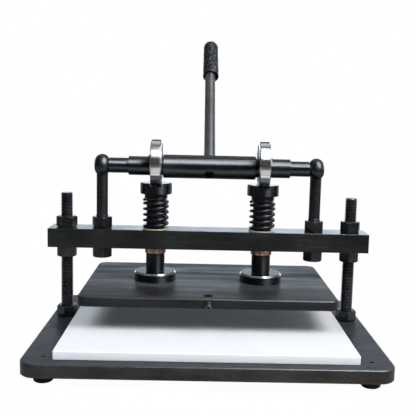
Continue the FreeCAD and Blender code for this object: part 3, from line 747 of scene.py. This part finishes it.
def world():
    """A studio that is dim in front, grey above and bright low behind, and plain white to the
    camera."""
    made = bpy.data.worlds.new("studio")
    bpy.context.scene.world = made
    made.use_nodes = True
    nodes = Nodes(made.node_tree)
    nodes.tree.nodes.clear()
    direction = nodes.parts(nodes.node("ShaderNodeTexCoord").outputs["Generated"])
    path = nodes.node("ShaderNodeLightPath")
    behind = nodes.maths("MULTIPLY", nodes.spread(direction["Y"], *SKY_BEHIND),
                         nodes.spread(direction["X"], *SKY_SLOPE))
    low_band = nodes.maths("ADD", nodes.spread(direction["Z"], *SKY_LOW),
                           nodes.spread(direction["Z"], *SKY_MIDDLE))
    mirrored = nodes.maths("MULTIPLY", low_band, path.outputs["Is Glossy Ray"])
    ceiling = nodes.maths("MULTIPLY", nodes.spread(direction["Z"], *SKY_TOP),
                          nodes.spread(direction["Y"], *SKY_TOP_BEHIND))
    right = nodes.spread(direction["X"], *SKY_RIGHT)
    level = nodes.maths("ADD", nodes.maths("ADD", right, ceiling),
                        nodes.maths("MULTIPLY", behind, mirrored))
    studio = nodes.node("ShaderNodeBackground")
    nodes.join(level, studio.inputs["Strength"])
    studio.inputs["Color"].default_value = SKY_TINT
    white = nodes.node("ShaderNodeBackground")
    white.inputs["Color"].default_value = (1.0, 1.0, 1.0, 1.0)
    mix = nodes.node("ShaderNodeMixShader")
    nodes.join(path.outputs["Is Camera Ray"], mix.inputs["Fac"])
    nodes.join(studio.outputs["Background"], mix.inputs[1])
    nodes.join(white.outputs["Background"], mix.inputs[2])
    output = nodes.node("ShaderNodeOutputWorld")
    nodes.join(mix.outputs["Shader"], output.inputs["Surface"])


def floor():
    """A pale floor that goes over into the white background. It ends in front like a table, but
    not to the camera."""
    made = bmesh.new()
    bmesh.ops.create_circle(made, cap_ends=True, radius=FLOOR_RADIUS, segments=FLOOR_SEGMENTS)
    mesh = bpy.data.meshes.new("floor")
    made.to_mesh(mesh)
    made.free()
    finish = Finish("floor", FLOOR_COLOUR, 0.8, specular=0.2)
    place = finish.place()
    depth = finish.parts(place)["Y"]
    path = finish.node("ShaderNodeLightPath")
    mirrored = finish.blend(finish.spread(depth, *MIRRORED_CHANGE), MIRRORED_FRONT, MIRRORED_BACK)
    table = finish.blend(path.outputs["Is Glossy Ray"], FLOOR_COLOUR, mirrored)
    finish.feed("Base Color", finish.blend(finish.spread(depth, *TABLE_END), table, BEYOND_TABLE))
    distance = finish.node("ShaderNodeVectorMath", operation="LENGTH")
    finish.join(place, distance.inputs[0])
    share = finish.spread(distance.outputs["Value"], *FLOOR_GLOW)
    seen = finish.maths("MULTIPLY", share, path.outputs["Is Camera Ray"])
    glow = finish.node("ShaderNodeEmission")
    mix = finish.node("ShaderNodeMixShader")
    finish.join(seen, mix.inputs["Fac"])
    finish.join(finish.shader.outputs["BSDF"], mix.inputs[1])
    finish.join(glow.outputs["Emission"], mix.inputs[2])
    output = finish.tree.nodes["Material Output"]
    finish.join(mix.outputs["Shader"], output.inputs["Surface"])
    mesh.materials.append(finish.material)
    piece = bpy.data.objects.new("floor", mesh)
    bpy.context.scene.collection.objects.link(piece)


def studio():
    """Camera, surroundings, lamps and floor."""
    bpy.context.scene.view_settings.view_transform = "Standard"
    camera()
    world()
    softbox("key", KEY_DIRECTION, KEY_POWER, KEY_SIZE, WARM)
    softbox("key_glints", KEY_DIRECTION, GLINT_POWER, KEY_SIZE, GLINT_TINT, glints=True)
    softbox("fill", FILL_DIRECTION, FILL_POWER, FILL_SIZE, COOL)
    softbox("bounce", BOUNCE_DIRECTION, BOUNCE_POWER, BOUNCE_SIZE, COOL)
    softbox("top_glints", TOP_DIRECTION, TOP_POWER, TOP_SIZE, GLINT_TINT, glints=True)
    floor()


def plate_finishes():
    """Base, press plate and crossbeam."""
    base_steel = black_steel("base_steel", dark=(0.0096, 0.0082, 0.0073),
                             light=(0.030, 0.0262, 0.0235), grain=(18.0, 120.0, 120.0),
                             wear_and_glint_colour=(0.20, 0.185, 0.17), wear=0.8, wear_width=1.1 * MM,
                             specular=0.16, round_edges=0.6 * MM, top=(0.026, 0.0285, 0.033),
                             top_grain=(45.0, 30.0, 30.0), waves=0.7)
    base_steel.speckle(2.5 * MM, (0.26, 0.23, 0.20))
    assign(base_steel, "base_plate")

    # The press plate's top darkens towards its front edge: a painted reflection.
    plate_steel = black_steel("plate_steel", dark=(0.0034, 0.0033, 0.0032),
                              light=(0.0080, 0.0076, 0.0072), grain=(6.0, 130.0, 130.0),
                              smooth=0.38, rough=0.54, specular=0.2, wear=0.2,
                              wear_width=0.6 * MM, top=(0.064, 0.068, 0.074), waves=7.0,
                              painted_reflection_fade=(PRESS_Y - 75.0 * MM, PRESS_Y - 15.0 * MM))
    plate_steel.streak(Vector((0.15, 1.0, 0.0)), NOWHERE, NOWHERE, 0.2)
    assign(plate_steel, "press_plate")

    beam_steel = black_steel("beam_steel", dark=(0.006, 0.006, 0.0056),
                             light=(0.016, 0.016, 0.015), grain=(12.0, 200.0, 200.0),
                             smooth=0.20, rough=0.30, bump=0.05, specular=0.25,
                             round_edges=0.5 * MM)
    assign(beam_steel, "crossbeam")


def thread_finishes():
    """Nuts, screws and threaded columns."""
    # Bright edges on the nuts: partly use, partly a painted glint.
    nut_steel = black_steel("nut_steel", dark=(0.003, 0.003, 0.0033),
                            light=(0.008, 0.0082, 0.009), grain=(220.0, 220.0, 500.0),
                            smooth=0.16, rough=0.28, cloud=60.0, wear_and_glint_colour=(0.34, 0.34, 0.34),
                            wear=1.0, wear_width=0.6 * MM, specular=0.4, round_edges=0.5 * MM)
    assign(nut_steel, "column_base_nuts", "column_lower_nuts", "column_upper_nuts",
           "eye_bolt_lower_nuts", "eye_bolt_upper_nuts", "plate_screws", "foot_screws")

    thread_steel = black_steel("thread_steel", dark=(0.008, 0.008, 0.009),
                               light=(0.020, 0.0206, 0.022), grain=(220.0, 220.0, 500.0),
                               smooth=0.24, rough=0.40, cloud=60.0, wear=0.0, specular=0.7)
    # Painted shade in the thread's grooves.
    thread_steel.painted_groove_shade((0.0012, 0.0012, 0.0013), 0.7)
    columns(thread_steel)

    # Light edges and thread crests on the clamp screw: partly use, partly a painted glint.
    screw_steel = black_steel("screw_steel", dark=(0.0012, 0.0012, 0.0013),
                              light=(0.003, 0.003, 0.0033), grain=(400.0, 400.0, 400.0),
                              smooth=0.18, rough=0.26, cloud=80.0, wear_and_glint_colour=(0.35, 0.35, 0.35),
                              wear=0.5, wear_width=0.25 * MM, bump=0.04, specular=1.0)
    clamp_screw(screw_steel)


def plunger_finishes():
    """Plungers and their caps, turned on upright axes."""
    press_centre = Vector((0.0, PRESS_Y, 0.0))
    plunger_steel = turned_steel("plunger_steel", UPRIGHT_GRAIN, smooth=0.24, rough=0.32,
                                 specular=0.29, wear=0.5, round_edges=0.6 * MM)
    plunger_steel.streak(UPRIGHT, press_centre, LEVEL, 0.95, pair=PLUNGER_X)
    plunger_steel.smooth_tops(0.95, 0.24, 0.12)
    plunger_steel.bare_bevels((0.34, 0.34, 0.35), 0.8)
    assign(plunger_steel, "left_plunger", "right_plunger")

    cap_specular = 0.24
    cap_steel = turned_steel("cap_steel", UPRIGHT_GRAIN, smooth=0.24, rough=0.32,
                             specular=cap_specular, wear=0.5, round_edges=0.5 * MM)
    cap_steel.streak(UPRIGHT, press_centre, LEVEL, 0.95, pair=PLUNGER_X)
    cap_steel.smooth_tops(0.95, 0.25, 0.24)
    # Painted shade on the floor of each cap's slot, under the bearing.
    cap_steel.painted_slot_shade(CAP_TOP, cap_specular)
    assign(cap_steel, "left_plunger_cap", "right_plunger_cap")


def drive_finishes():
    """Eye bolts, shaft, lever and springs."""
    eye_steel = turned_steel("eye_steel", UPRIGHT_GRAIN, smooth=0.22, rough=0.36,
                             specular=0.4, wear=0.25)
    assign(eye_steel, "left_eye_bolt", "right_eye_bolt")

    shaft_steel = turned_steel("shaft_steel", (1800.0, 25.0, 25.0), smooth=0.26, rough=0.34,
                               specular=0.66, wear=0.35)
    shaft_steel.streak(ALONG_X, SHAFT_CENTRE, ACROSS_X, 0.97)
    assign(shaft_steel, "eccentric_shaft")

    lever_steel = black_steel("lever_steel", dark=(0.025, 0.025, 0.025),
                              light=(0.060, 0.060, 0.060), grain=(300.0, 60.0, 60.0),
                              smooth=0.40, rough=0.54, bump=0.03, wear=0.2, specular=0.20)
    lever_steel.streak(LEVER_AXIS, NOWHERE, NOWHERE, 0.6)
    assign(lever_steel, "lever_rod")

    spring_steel = black_steel("spring_steel", dark=(0.003, 0.003, 0.0033),
                               light=(0.007, 0.007, 0.0076), grain=(300.0, 300.0, 300.0),
                               smooth=0.16, rough=0.26, wear=0.0, bump=0.04, specular=0.35)
    springs(spring_steel)


def other_finishes():
    """Bearings, bushings, board, feet and grip."""
    bright = bearing_steel()
    for side in ("left", "right"):
        assign(bright, f"{side}_bearing_outer_ring", f"{side}_bearing_inner_ring",
               f"{side}_bearing_balls", f"{side}_bearing_cage", f"{side}_bearing_shields")
    assign(bronze(), "left_bushing", "right_bushing")
    assign(white_board(), "cutting_board")
    foot_rubber = rubber("foot_rubber", (0.004, 0.004, 0.004), (0.010, 0.010, 0.010), 0.6, 0.2)
    assign(foot_rubber, "front_left_foot", "front_right_foot", "rear_left_foot",
           "rear_right_foot")
    lever_grip(grip_rubber())


studio()
plate_finishes()
thread_finishes()
plunger_finishes()
drive_finishes()
other_finishes()
